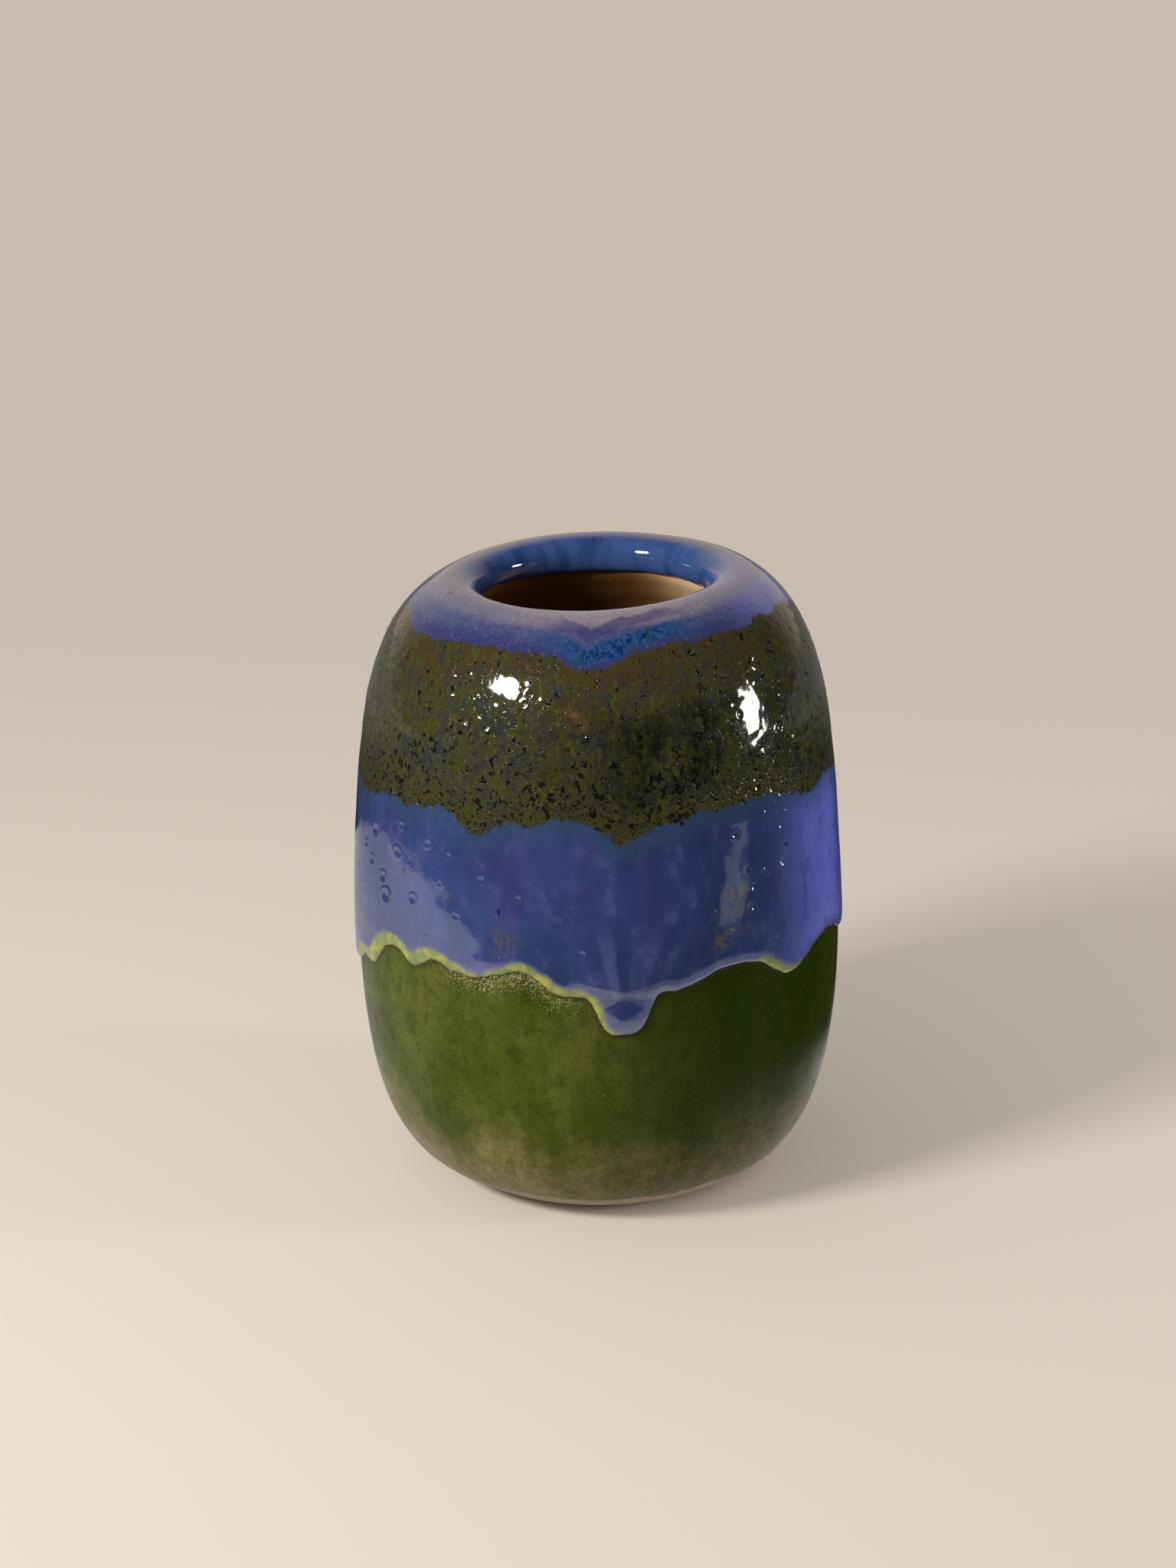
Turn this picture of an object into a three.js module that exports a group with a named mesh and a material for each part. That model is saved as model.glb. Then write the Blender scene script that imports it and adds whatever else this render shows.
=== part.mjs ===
// Ceramic bud vase: one fired clay body under four coats of glaze, one above the other.
// Millimetres, +Z up. The origin is the middle of the flat foot. The longest drip faces -Y.
// Angles round the vase are in degrees from that side, growing towards +X.
import * as THREE from 'three';

// Clay body.
const FOOT_RADIUS = 22;
const FOOT_INNER_RADIUS = 15;
const RECESS_RADIUS = 13.5;
const RECESS_DEPTH = 1.6;
const BELLY_RADIUS = 36.3;
const BELLY_HEIGHT = 39.5;
const CREST_RADIUS = 20.3;
const CREST_HEIGHT = 92.7;
const THROAT_RADIUS = 18;
const THROAT_HEIGHT = 89.9;
const FLOOR_HEIGHT = 7;
const CAVITY_RADIUS = 31.8;

// The whole upper half leans a little, so the mouth is not quite level.
const MOUTH_SLOPE = Math.tan(THREE.MathUtils.degToRad(1.35));
const LEAN_START = CREST_HEIGHT / 2;

// Glaze.
const GAP = 0.3;
const GREEN_THICKNESS = 0.5;
const BLUE_THICKNESS = 0.8;
const OLIVE_THICKNESS = 0.6;
const RIM_THICKNESS = 0.7;
const FOOT_STRIP = 4.2;
const DRIP_LEVEL = 43;
const OLIVE_LEVEL = 67;
const RIM_LEVEL = 89.2;

// Facets.
const ANGLE_STEPS = 60;

// Outside of the clay wall as radius and height, from the edge of the foot over the crest of the
// lip to the lower edge of the throat.
const OUTSIDE = [
  [FOOT_RADIUS, 0],
  [27.2, 3.2],
  [31.2, 8],
  [34, 15.5],
  [35.7, 26.5],
  [BELLY_RADIUS, BELLY_HEIGHT],
  [35.8, 52.5],
  [34.9, 64],
  [33.7, 74],
  [31.5, 82],
  [28.3, 87.9],
  [24.4, 91.4],
  [CREST_RADIUS, CREST_HEIGHT],
  [18.4, 91.7],
  [THROAT_RADIUS, THROAT_HEIGHT],
];
const CREST_INDEX = 12;

// Inside of the clay wall, from below the throat down to the middle of the floor.
const INSIDE = [
  [THROAT_RADIUS, THROAT_HEIGHT],
  [18.4, 88.2],
  [20.2, 85.6],
  [23.4, 82.1],
  [27.4, 77.6],
  [29.8, 70],
  [31.2, 55],
  [CAVITY_RADIUS, BELLY_HEIGHT],
  [30.8, 24],
  [27.2, 13],
  [19, 8],
  [8, FLOOR_HEIGHT],
  [0, FLOOR_HEIGHT],
];

// Each drip hangs below its coat's level by drop, over an angle of about half each way. A drip
// with a negative drop is a place where the edge rises. A power over 2 makes a blunter drip.
const BLUE_DRIPS = [
  { at: -84, drop: 8.5, half: 16 },
  { at: -66, drop: 3, half: 5 },
  { at: -48, drop: 2, half: 4 },
  { at: -31, drop: 1.2, half: 6 },
  { at: -18, drop: -1, half: 4 },
  { at: -9, drop: 1.6, half: 5 },
  { at: 4, drop: 3.4, half: 11 },
  { at: 5.2, drop: 5.2, half: 6.4, power: 5 },
  { at: 19, drop: 1.7, half: 7 },
  { at: 50, drop: 4.3, half: 8.5 },
  { at: 62, drop: 0.9, half: 6 },
  { at: 84, drop: 4.5, half: 13 },
  { at: 121, drop: 6.6, half: 9 },
  { at: 148, drop: 2.4, half: 8 },
  { at: 176, drop: 7.6, half: 8, power: 3 },
  { at: -151, drop: 3, half: 11 },
  { at: -118, drop: 5.4, half: 8, power: 3 },
];
const OLIVE_DRIPS = [
  { at: -74, drop: 3.4, half: 13 },
  { at: -50, drop: 1.3, half: 9 },
  { at: -29, drop: 3.2, half: 5.5 },
  { at: -17, drop: 1.1, half: 4 },
  { at: 4.5, drop: 3.5, half: 5 },
  { at: 14, drop: 1.5, half: 6 },
  { at: 60, drop: 2.5, half: 9 },
  { at: 81, drop: 2.8, half: 11 },
  { at: 104, drop: 3.2, half: 9 },
  { at: 139, drop: 2, half: 8 },
  { at: 172, drop: 3.4, half: 10 },
  { at: -143, drop: 2.6, half: 9 },
  { at: -110, drop: 2, half: 8 },
];
const RIM_DRIPS = [
  { at: -1, drop: 2.1, half: 11 },
  { at: -62, drop: 0.8, half: 14 },
  { at: 95, drop: 1.8, half: 12 },
  { at: 158, drop: 1.5, half: 14 },
  { at: -132, drop: 2, half: 13 },
];

const outsideCurve = new THREE.SplineCurve(OUTSIDE.map(([radius, height]) => new THREE.Vector2(radius, height)));
const insideCurve = new THREE.SplineCurve(INSIDE.map(([radius, height]) => new THREE.Vector2(radius, height)));
const CREST_PLACE = CREST_INDEX / (OUTSIDE.length - 1);

// Place along the outside curve, from 0 at the foot to 1 at the throat, for a height on the
// outer side of the crest.
function placeAtHeight(height) {
  let low = 0;
  let high = CREST_PLACE;
  for (let step = 0; step < 30; step += 1) {
    const middle = (low + high) / 2;
    if (outsideCurve.getPoint(middle).y < height) low = middle;
    else high = middle;
  }
  return (low + high) / 2;
}

// Point at a place on the outside curve, moved out of the clay by an offset.
function abovePlace(place, offset) {
  const point = outsideCurve.getPoint(place);
  const along = outsideCurve.getTangent(place);
  return new THREE.Vector2(point.x + along.y * offset, point.y - along.x * offset);
}

// Height of a coat's edge at an angle: its level less the drips that hang there.
function edgeHeight(level, drips, angle) {
  let height = level;
  for (const { at, drop, half, power = 2 } of drips) {
    const turn = THREE.MathUtils.euclideanModulo(angle - at + 180, 360) - 180;
    height -= drop * Math.exp(-(Math.abs(turn / half) ** power));
  }
  return height;
}

// Tilts the mouth: the lean grows from nothing at half height to its full slope at the crest.
function leanMouth(geometry) {
  const position = geometry.attributes.position;
  for (let index = 0; index < position.count; index += 1) {
    const height = position.getZ(index);
    const rise = Math.max(0, (height - LEAN_START) / (CREST_HEIGHT - LEAN_START));
    position.setZ(index, height + MOUTH_SLOPE * position.getX(index) * Math.min(1, rise) ** 1.5);
  }
  return geometry;
}

function clayGeometry() {
  const profile = [
    new THREE.Vector2(0, RECESS_DEPTH),
    new THREE.Vector2(RECESS_RADIUS, RECESS_DEPTH),
    new THREE.Vector2(FOOT_INNER_RADIUS, 0),
    ...outsideCurve.getPoints(OUTSIDE.length - 1),
    ...insideCurve.getPoints(INSIDE.length - 1).slice(1),
  ];
  return leanMouth(new THREE.LatheGeometry(profile, ANGLE_STEPS).rotateX(Math.PI / 2));
}

// A coat is a closed band that hugs the clay between two places, both given by angle. Its outer
// face thins to the given share of its thickness at each edge.
function coatGeometry({ startPlace, endPlace, thickness, edgeShare, rows }) {
  const offsets = [];
  for (let row = 0; row <= rows; row += 1) {
    const share = row === 0 || row === rows ? edgeShare : 1;
    offsets.push({ part: row / rows, offset: GAP + thickness * share });
  }
  for (let row = rows; row >= 0; row -= 1) {
    offsets.push({ part: row / rows, offset: GAP });
  }
  offsets.push(offsets[0]);
  const profileAt = (angle) => {
    const start = startPlace(angle);
    const end = endPlace(angle);
    return offsets.map(({ part, offset }) => abovePlace(THREE.MathUtils.lerp(start, end, part), offset));
  };

  const geometry = new THREE.LatheGeometry(profileAt(0), ANGLE_STEPS);
  const position = geometry.attributes.position;
  for (let step = 0; step <= ANGLE_STEPS; step += 1) {
    const angle = (360 * (step % ANGLE_STEPS)) / ANGLE_STEPS;
    const turn = THREE.MathUtils.degToRad(angle);
    profileAt(angle).forEach((point, index) => {
      const vertex = step * offsets.length + index;
      position.setXYZ(vertex, point.x * Math.sin(turn), point.y, point.x * Math.cos(turn));
    });
  }
  return leanMouth(geometry.rotateX(Math.PI / 2));
}

const dripEdge = (angle) => edgeHeight(DRIP_LEVEL, BLUE_DRIPS, angle);
const oliveEdge = (angle) => edgeHeight(OLIVE_LEVEL, OLIVE_DRIPS, angle);
const rimEdge = (angle) => edgeHeight(RIM_LEVEL, RIM_DRIPS, angle);
const RIM_END_PLACE = 0.985;

const group = new THREE.Group();

function addMesh(name, geometry, color, roughness) {
  const material = new THREE.MeshStandardMaterial({ color, roughness, metalness: 0 });
  const mesh = new THREE.Mesh(geometry, material);
  mesh.name = name;
  group.add(mesh);
}

addMesh('clay_body', clayGeometry(), 0xb08a5e, 0.85);

addMesh('green_lower_glaze', coatGeometry({
  startPlace: () => placeAtHeight(FOOT_STRIP),
  endPlace: (angle) => placeAtHeight(dripEdge(angle) - GAP),
  thickness: GREEN_THICKNESS,
  edgeShare: 0.5,
  rows: 8,
}), 0x2c4416, 0.2);

addMesh('blue_middle_glaze', coatGeometry({
  startPlace: (angle) => placeAtHeight(dripEdge(angle)),
  endPlace: (angle) => placeAtHeight(oliveEdge(angle) - GAP),
  thickness: BLUE_THICKNESS,
  edgeShare: 0.7,
  rows: 5,
}), 0x3c459c, 0.12);

addMesh('olive_speckled_glaze', coatGeometry({
  startPlace: (angle) => placeAtHeight(oliveEdge(angle)),
  endPlace: (angle) => placeAtHeight(rimEdge(angle) - GAP),
  thickness: OLIVE_THICKNESS,
  edgeShare: 0.7,
  rows: 5,
}), 0x45441f, 0.15);

addMesh('blue_rim_glaze', coatGeometry({
  startPlace: (angle) => placeAtHeight(rimEdge(angle)),
  endPlace: () => RIM_END_PLACE,
  thickness: RIM_THICKNESS,
  edgeShare: 0.7,
  rows: 7,
}), 0x5560a0, 0.2);

export default group;
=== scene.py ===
# Ceramic bud vase: a thrown clay body under four coats of glaze, on a plain pale floor.
# Lengths are millimetres until a mesh is made. Angles round the vase are in degrees from -Y,
# growing towards +X. A place up the wall is its arc length from the edge of the foot.
import math

import bpy
import numpy as np
from mathutils import Matrix, Vector


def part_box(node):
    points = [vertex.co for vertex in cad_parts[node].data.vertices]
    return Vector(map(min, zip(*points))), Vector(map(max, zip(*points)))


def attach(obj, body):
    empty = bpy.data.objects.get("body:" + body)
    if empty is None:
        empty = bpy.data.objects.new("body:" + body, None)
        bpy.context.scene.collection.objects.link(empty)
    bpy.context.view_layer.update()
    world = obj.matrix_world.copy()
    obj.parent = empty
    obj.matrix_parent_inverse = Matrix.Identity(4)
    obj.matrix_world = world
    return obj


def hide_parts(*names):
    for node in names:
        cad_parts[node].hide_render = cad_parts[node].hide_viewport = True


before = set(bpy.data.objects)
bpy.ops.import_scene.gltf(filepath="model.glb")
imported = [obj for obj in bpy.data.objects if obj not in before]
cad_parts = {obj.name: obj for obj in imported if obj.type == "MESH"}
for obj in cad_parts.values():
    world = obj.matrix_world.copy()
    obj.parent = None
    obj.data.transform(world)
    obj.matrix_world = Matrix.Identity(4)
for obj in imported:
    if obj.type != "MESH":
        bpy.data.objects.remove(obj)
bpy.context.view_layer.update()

# ---------------------------------------------------------------- sizes
BELLY_RADIUS = 36.3
CLAY_LOW, CLAY_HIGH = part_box("clay_body")
UNIT = (CLAY_HIGH.x - CLAY_LOW.x) / 2 / BELLY_RADIUS    # metres in one millimetre of the vase

# Outside of the clay wall as radius and height, from the edge of the foot over the crest of the
# lip to the throat, and then the inside down to the middle of the floor.
OUTSIDE = [
    (22, 0), (27.2, 3.2), (31.2, 8), (34, 15.5), (35.7, 26.5), (BELLY_RADIUS, 39.5), (35.8, 52.5),
    (34.9, 64), (33.7, 74), (31.5, 82), (28.3, 87.9), (24.4, 91.4), (20.3, 92.7), (18.4, 91.7),
    (18, 89.9),
]
INSIDE = [
    (18.4, 88.2), (20.2, 85.6), (23.4, 82.1), (27.4, 77.6), (29.8, 70), (31.2, 55), (31.8, 39.5),
    (30.8, 24), (27.2, 13), (19, 8), (8, 7), (0, 7),
]
CREST_HEIGHT = 92.7
FOOT_INNER_RADIUS = 15
RECESS_RADIUS = 13.5
RECESS_DEPTH = 1.6
MOUTH_SLOPE = math.tan(math.radians(1.35))
LEAN_START = CREST_HEIGHT / 2

SEAT = 0.03               # how far the coats' inner faces stand off the clay
SKIN = 0.01               # gap that keeps thin layers from touching
GREEN_THICKNESS = 0.5
BLUE_SHEET = 1.12         # height of the blue coat's outer face over the clay
UPPER_SHEET = 0.95        # the same for the olive and rim coats
BEAD_ROUND = 1.1          # width of the round at the blue coat's lower edge
BEAD_SWELL = 3.2          # width of the gentler swell above the round
GREEN_LAP = 2.5           # how far the green runs up under the blue

FOOT_STRIP = 4.2
DRIP_LEVEL = 43
OLIVE_LEVEL = 67
RIM_LEVEL = 89.2
RIM_END = 89.3            # height inside the mouth where the glaze ends
RIM_END_BACK = 0.9        # how much further in it runs on the far side

# Drips: angle, drop below the level, half width in degrees, and a power over 2 for a blunt drip.
BLUE_DRIPS = [
    (-84, 8.5, 16, 2), (-66, 3, 5, 2), (-48, 2, 4, 2), (-31, 1.2, 6, 2), (-18, -1, 4, 2),
    (-9, 1.6, 5, 2), (4, 3.4, 11, 2), (5.2, 5.2, 6.4, 5), (19, 1.7, 7, 2), (50, 4.3, 8.5, 2),
    (62, 0.9, 6, 2), (84, 4.5, 13, 2), (121, 6.6, 9, 2), (148, 2.4, 8, 2), (176, 7.6, 8, 3),
    (-151, 3, 11, 2), (-118, 5.4, 8, 3),
]
OLIVE_DRIPS = [
    (-74, 3.4, 13, 2), (-50, 1.3, 9, 2), (-29, 3.2, 5.5, 2), (-17, 1.1, 4, 2), (4.5, 3.5, 5, 2),
    (14, 1.5, 6, 2), (60, 2.5, 9, 2), (81, 2.8, 11, 2), (104, 3.2, 9, 2), (139, 2, 8, 2),
    (172, 3.4, 10, 2), (-143, 2.6, 9, 2), (-110, 2, 8, 2),
]
RIM_DRIPS = [
    (-1, 2.1, 11, 2), (-62, 0.8, 14, 2), (95, 1.8, 12, 2), (158, 1.5, 14, 2), (-132, 2, 13, 2),
]

MEAN_RADIUS = 36          # turns angles into lengths over the coats
COLUMNS = 960             # columns of each coat round the vase


# ---------------------------------------------------------------- wall
def smooth_line(points, step):
    """Natural cubic spline through the points, with a point about every step."""
    knots = np.asarray(points, float)
    chord = np.concatenate([[0], np.cumsum(np.hypot(*np.diff(knots, axis=0).T))])
    gap = np.diff(chord)
    count = len(knots)
    system = np.eye(count)
    pull = np.zeros((count, 2))
    for i in range(1, count - 1):
        system[i, i - 1:i + 2] = gap[i - 1], 2 * (gap[i - 1] + gap[i]), gap[i]
        pull[i] = 6 * ((knots[i + 1] - knots[i]) / gap[i] - (knots[i] - knots[i - 1]) / gap[i - 1])
    bend = np.linalg.solve(system, pull)
    place = np.linspace(0, chord[-1], int(chord[-1] / step) + 1)
    i = np.clip(np.searchsorted(chord, place, side="right") - 1, 0, count - 2)
    before = ((chord[i + 1] - place) / gap[i])[:, None]
    after = 1 - before
    curve = ((before ** 3 - before) * bend[i] + (after ** 3 - after) * bend[i + 1])
    return before * knots[i] + after * knots[i + 1] + curve * (gap[i] ** 2)[:, None] / 6


WALL = smooth_line(OUTSIDE + INSIDE, 0.1)
WALL_PLACE = np.concatenate([[0], np.cumsum(np.hypot(*np.diff(WALL, axis=0).T))])
WALL_SLOPE = np.gradient(WALL, WALL_PLACE, axis=0)
WALL_SLOPE /= np.hypot(*WALL_SLOPE.T)[:, None]
WALL_NORMAL = np.stack([WALL_SLOPE[:, 1], -WALL_SLOPE[:, 0]], axis=1)
CREST_INDEX = int(np.argmax(WALL[:, 1]))
CREST_PLACE = WALL_PLACE[CREST_INDEX]
THROAT_POINTS = 90        # wall points from the crest to well inside the throat


def place_at_height(height):
    """Place on the outer side of the wall for a height."""
    return np.interp(height, WALL[:CREST_INDEX, 1], WALL_PLACE[:CREST_INDEX])


def place_inside(height):
    """Place beyond the crest for a height, as far as the throat."""
    beyond = slice(CREST_INDEX, CREST_INDEX + THROAT_POINTS)
    return np.interp(-height, -WALL[beyond, 1], WALL_PLACE[beyond])


def wall_points(angle, place, offset):
    """Points that stand off the wall by an offset."""
    parts = []
    for axis in (0, 1):
        outward = np.interp(place, WALL_PLACE, WALL_NORMAL[:, axis])
        parts.append(np.interp(place, WALL_PLACE, WALL[:, axis]) + offset * outward)
    return turned(angle, *parts)


def turned(angle, radius, height):
    """Points at an angle, radius and height, with the lean of the mouth."""
    x = radius * np.sin(np.radians(angle))
    y = -radius * np.cos(np.radians(angle))
    rise = np.clip((height - LEAN_START) / (CREST_HEIGHT - LEAN_START), 0, 1)
    return np.stack(np.broadcast_arrays(x, y, height + MOUTH_SLOPE * x * rise ** 1.5), axis=-1)


# ---------------------------------------------------------------- edges of the coats
def turn_from(angle, at):
    """Angle from one place round the vase to another, -180 to 180."""
    return (angle - at + 180) % 360 - 180


def waves(angle, place, seed, length, count=18, stretch=1.0):
    """Seamless random waves of about one length in millimetres, close to -1 to 1."""
    rng = np.random.default_rng(seed)
    total = 0
    for _ in range(count):
        heading = rng.uniform(0, math.pi)
        number = 2 * math.pi / (length * rng.uniform(0.75, 1.35))
        turns = round(MEAN_RADIUS * number * math.cos(heading))
        climb = number * math.sin(heading) / stretch
        total = total + np.cos(np.radians(angle) * turns + climb * place + rng.uniform(0, 2 * math.pi))
    return total / math.sqrt(count)


def edge_height(level, drips, angle):
    height = np.full_like(angle, float(level))
    for at, drop, half, power in drips:
        height -= drop * np.exp(-np.abs(turn_from(angle, at) / half) ** power)
    return height


def drip_edge(angle):
    ragged = 0.10 * waves(angle, 0, 11, 5) + 0.05 * waves(angle, 0, 12, 2.2)
    return place_at_height(edge_height(DRIP_LEVEL, BLUE_DRIPS, angle) + ragged)


def olive_edge(angle):
    ragged = 0.22 * waves(angle, 0, 13, 6) + 0.12 * waves(angle, 0, 14, 2.5)
    return place_at_height(edge_height(OLIVE_LEVEL, OLIVE_DRIPS, angle) + ragged)


def rim_edge(angle):
    ragged = 0.16 * waves(angle, 0, 15, 7) + 0.07 * waves(angle, 0, 16, 2.5)
    return place_at_height(edge_height(RIM_LEVEL, RIM_DRIPS, angle) + ragged)


def foot_edge(angle):
    return place_at_height(FOOT_STRIP + 0.35 * waves(angle, 0, 17, 14) + 0.12 * waves(angle, 0, 18, 4))


def spread_columns():
    """Angles of the columns: closer together where the drip edge is steep."""
    fine = np.linspace(0, 360, 7201)
    slope = np.gradient(drip_edge(fine), fine * math.pi / 180 * BELLY_RADIUS)
    density = np.sqrt(1 + slope ** 2)
    reached = np.concatenate([[0], np.cumsum((density[1:] + density[:-1]) / 2)])
    return np.interp(np.arange(COLUMNS) / COLUMNS, reached / reached[-1], fine)


ANGLES = spread_columns()
DRIP_PLACE = drip_edge(ANGLES)
OLIVE_PLACE = olive_edge(ANGLES)
RIM_PLACE = rim_edge(ANGLES)
FOOT_PLACE = foot_edge(ANGLES)
FAR_SIDE = 0.5 - 0.5 * np.cos(np.radians(turn_from(ANGLES, -15)))
END_PLACE = place_inside(RIM_END - RIM_END_BACK * FAR_SIDE ** 1.5) + 0.12 * waves(ANGLES, 0, 19, 9)


def distance_to(edge, angle, place, reach=40):
    """Distance over the surface to a coat's edge, positive above it, for a grid of rows and columns."""
    radius = np.interp(place, WALL_PLACE, WALL[:, 0])
    turn = math.pi / 180
    best = np.full(place.shape, 1e9)
    for shift in range(-reach, reach):
        ahead_angle = np.roll(ANGLES, -shift)
        next_angle = np.roll(ANGLES, -shift - 1)
        ax = turn_from(ahead_angle, angle) * turn * radius
        bx = turn_from(next_angle, angle) * turn * radius
        ay = np.roll(edge, -shift) - place
        by = np.roll(edge, -shift - 1) - place
        dx = bx - ax
        dy = by - ay
        share = np.clip(-(ax * dx + ay * dy) / (dx * dx + dy * dy), 0, 1)
        best = np.minimum(best, (ax + share * dx) ** 2 + (ay + share * dy) ** 2)
    return np.sqrt(best) * np.sign(place - edge)


def across_from(angle, at):
    """Length round the vase from an angle."""
    return np.radians(turn_from(angle, at)) * MEAN_RADIUS


def away_from(angle, place, at, height):
    """Distance over the surface from a spot given by angle and height."""
    return np.hypot(across_from(angle, at), place - place_at_height(height))


def ease(value, low, high):
    """0 below low, 1 above high, smooth between."""
    share = np.clip((value - low) / (high - low), 0, 1)
    return share * share * (3 - 2 * share)


# ---------------------------------------------------------------- relief of the glaze
# Bubbles that broke and healed: angle, height, radius, depth of the dish and height of its rim.
BUBBLES = [
    (-38.9, 76.4, 1.35, -0.10, 0.10), (25.7, 78.9, 1.3, -0.08, 0.07), (46.5, 56.5, 0.75, 0.16, 0.10),
    (37.5, 54.2, 0.7, 0.15, 0.08), (33.0, 62.5, 0.6, 0.15, 0.06), (50.5, 75.5, 0.8, 0.2, 0.1),
    (-17.5, 84.0, 0.6, 0.18, 0.05), (-34.0, 79.6, 0.7, 0.2, 0.05), (-27.5, 79.4, 0.8, 0.15, 0.05),
    (-59.5, 52.6, 0.9, 0.20, 0.08), (-58.0, 50.0, 1.2, 0.24, 0.10), (-47.5, 51.4, 0.8, 0.18, 0.05),
    (-64.0, 59.0, 1.1, 0.22, 0.08), (-65.5, 54.0, 0.8, 0.18, 0.05), (-53.5, 57.6, 0.8, 0.16, 0.05),
]


# Scattered small bubbles: how many, and the ranges of their angle, height, radius, depth and rim.
# A negative depth is a blister that stands up and has no rim.
SCATTERS = [
    (70, (-180, 180), (70, 86), (0.45, 0.8), (0.08, 0.2), (0.02, 0.07)),
    (45, (-180, 180), (46, 66), (0.4, 0.7), (0.06, 0.16), (0.02, 0.06)),
    (150, (-180, 180), (66, 88), (0.5, 0.7), (-0.10, -0.04), None),
    (75, (40, 62), (42, 68), (0.45, 0.6), (-0.13, -0.06), None),
]


def scattered_bubbles():
    rng = np.random.default_rng(5)
    found = list(BUBBLES)
    for count, *ranges, rims in SCATTERS:
        for _ in range(count):
            bubble = [rng.uniform(low, high) for low, high in ranges]
            found.append((*bubble, rng.uniform(*rims) if rims else 0))
    return found


def bubble_relief(angle, place):
    relief = np.zeros(place.shape)
    for at, height, radius, depth, rim in scattered_bubbles():
        near = away_from(angle, place, at, height) / radius
        relief += -depth * np.exp(-(near / 0.62) ** 4) + rim * np.exp(-((near - 1) / 0.22) ** 2)
    return relief


def bubble_marks(angle, place):
    """Paler middles and dark surrounds of the placed bubbles, from 0 to 1 each."""
    middle = np.zeros(place.shape)
    surround = np.zeros(place.shape)
    for at, height, radius, *_ in BUBBLES:
        near = away_from(angle, place, at, height) / radius
        middle = np.maximum(middle, 1 - ease(near, 0.75, 0.95))
        surround = np.maximum(surround, np.exp(-((near - 1.12) / 0.2) ** 2))
    return middle, surround


def surface_relief(angle, place):
    """The gentle unevenness that all the coats share."""
    uneven = 0.08 * waves(angle, place, 21, 44) + 0.012 * waves(angle, place, 22, 12)
    turning = 0.005 * np.sin(place * 2 * math.pi / 5.3 + 0.8 * waves(angle, place * 0.2, 23, 40))
    return uneven + turning + 0.0018 * waves(angle, place, 24, 3.2, 24)


# Stretches where the blue thickens gently above its edge: angle, half width and strength.
SWELLS = [(24, 22, 1.0), (84, 30, 0.6), (176, 30, 0.9), (-118, 30, 0.9)]

# Drips that hang as heavy drops: angle, how far the middle of the drop is above the edge, and how
# much thicker the glaze is there. A drop is a dome with a step above it, where the glaze ran down.
DROPS = [
    (5.2, 3.6, 0.8), (50, 2.4, 0.3), (-66, 2.2, 0.2), (176, 2.6, 0.7), (-118, 2.6, 0.6), (121, 2.6, 0.45),
]
DROP_RADIUS = 3.0
DRIP_RADIUS = 36.8        # radius of the glaze where the drips hang


def upper_offset(angle, place, drip_gap, olive_gap, rim_gap):
    """Height of the outer face over the clay for the blue, olive and rim coats."""
    sheet = BLUE_SHEET + (UPPER_SHEET - BLUE_SHEET) * ease(olive_gap, -3, 3)
    offset = sheet + surface_relief(angle, place) + bubble_relief(angle, place)
    olive = ease(olive_gap, -0.6, 1.2) * (1 - ease(rim_gap, -1.2, 0.6))
    offset += olive * (0.010 * waves(angle, place, 31, 2.3, 30) + 0.004 * waves(angle, place, 32, 1.2, 30))
    heavy = 0.07 * np.exp(-((drip_gap - 1.5) / 1.6) ** 2)
    for at, above, extra in DROPS:
        up = place - drip_edge(np.array([float(at)]))[0]
        across = np.radians(turn_from(angle, at)) * DRIP_RADIUS
        dome = np.exp(-(across / DROP_RADIUS) ** 2 - ((up - above) / DROP_RADIUS) ** 2)
        step = np.exp(-(across / (3.4 + 0.35 * np.clip(up, 0, 30))) ** 4) * ease(up, above + 0.8, above + 4.6)
        heavy = heavy + extra * (0.3 * dome + 0.6 * step * (1 - ease(up, above + 6, above + 22)))
    offset += heavy
    under = GREEN_THICKNESS + surface_relief(angle, place)
    width = BEAD_ROUND + 0.8 * ease(heavy, 0.2, 0.7)
    near = np.clip(drip_gap / width, 0, 1)
    swell = np.clip(drip_gap / BEAD_SWELL, 0, 1)
    gentle = 0.06 + 0.28 * around(angle, SWELLS)
    profile = (1 - gentle) * np.sqrt(1 - (1 - near) ** 2) + gentle * (1 - (1 - swell) ** 2)
    return under + (offset - under) * profile


# ---------------------------------------------------------------- meshes
def add_attribute(mesh, name, values):
    values = np.asarray(values, np.float32)
    if values.shape[-1] == 3 and values.ndim == 3:
        mesh.attributes.new(name, "FLOAT_VECTOR", "POINT").data.foreach_set("vector", values.reshape(-1))
    else:
        mesh.attributes.new(name, "FLOAT", "POINT").data.foreach_set("value", values.reshape(-1))


def make_object(name, points, faces, sharp_edges=None):
    mesh = bpy.data.meshes.new(name)
    mesh.from_pydata(points.reshape(-1, 3) * UNIT, [], faces)
    mesh.update()
    mesh.polygons.foreach_set("use_smooth", np.ones(len(mesh.polygons), bool))
    if sharp_edges is not None:
        ends = np.zeros(len(mesh.edges) * 2, np.int32)
        mesh.edges.foreach_get("vertices", ends)
        sharp = mesh.attributes.new("sharp_edge", "BOOLEAN", "EDGE")
        sharp.data.foreach_set("value", sharp_edges(ends.reshape(-1, 2)))
    piece = bpy.data.objects.new(name, mesh)
    bpy.context.scene.collection.objects.link(piece)
    return piece


def ring_faces(rows, columns, closed):
    """Four-cornered faces between rings of points. If closed, the last ring joins the first."""
    row = np.arange(rows if closed else rows - 1)[:, None]
    column = np.arange(columns)[None, :]
    above = (row + 1) % rows
    beside = (column + 1) % columns
    low = row * columns
    high = above * columns
    corners = [low + column, low + beside, high + beside, high + column]
    return np.stack(np.broadcast_arrays(*corners), axis=-1).reshape(-1, 4)


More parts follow.
